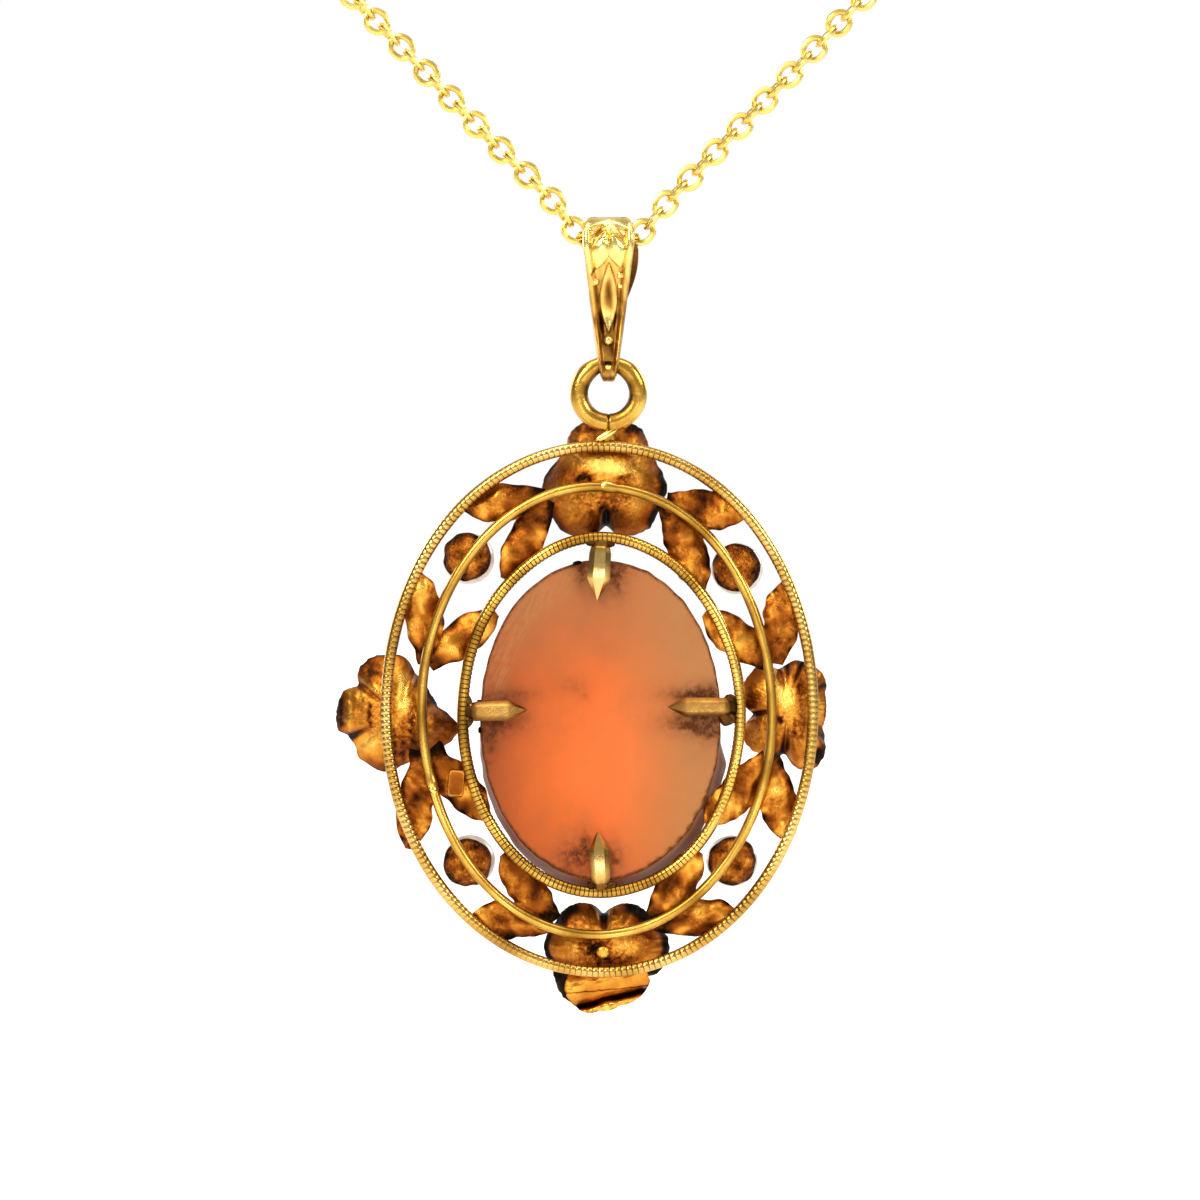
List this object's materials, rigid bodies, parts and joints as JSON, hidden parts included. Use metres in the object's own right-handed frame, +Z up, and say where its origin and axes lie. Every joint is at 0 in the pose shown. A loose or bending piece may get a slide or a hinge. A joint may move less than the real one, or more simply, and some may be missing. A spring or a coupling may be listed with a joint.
{
  "type": "cameo pendant on a chain",
  "caption": "Oval shell cameo in an openwork gold frame of rims, flowers, leaves and pearls, hanging by a bail on a closed cable chain.",
  "frame": {"origin": "middle of the clasp at the top of the closed chain, where the necklace hangs at the nape or on a peg", "axes": "+Z up; the pendant's plain back, which the picture shows, faces -Y, and its carved front faces +Y; +X is to the right in the picture"},
  "size_m": [0.1218, 0.006, 0.1974],
  "materials": {
    "chain_gold": "polished",
    "bail_gold": "polished",
    "frame_gold": "satin",
    "shell": "satin",
    "pearl": "gloss"
  },
  "bodies": {
    "necklace": {"chain": "chain_gold", "clasp": "chain_gold"},
    "bail": {"bail": "bail_gold"},
    "pendant": {"frame": "frame_gold", "cameo": "shell", "pearl_1": "pearl", "pearl_2": "pearl", "pearl_3": "pearl", "pearl_4": "pearl"}
  },
  "joints": [
    {"name": "bail_swing", "type": "hinge", "parent": "necklace", "child": "bail", "pos_m": [0, 0, -0.14619], "axis": [1, 0, 0], "range_deg": [-90, 90]},
    {"name": "pendant_swing", "type": "hinge", "parent": "bail", "child": "pendant", "pos_m": [0, 0, -0.15387], "axis": [1, 0, 0], "range_deg": [-90, 90]}
  ]
}
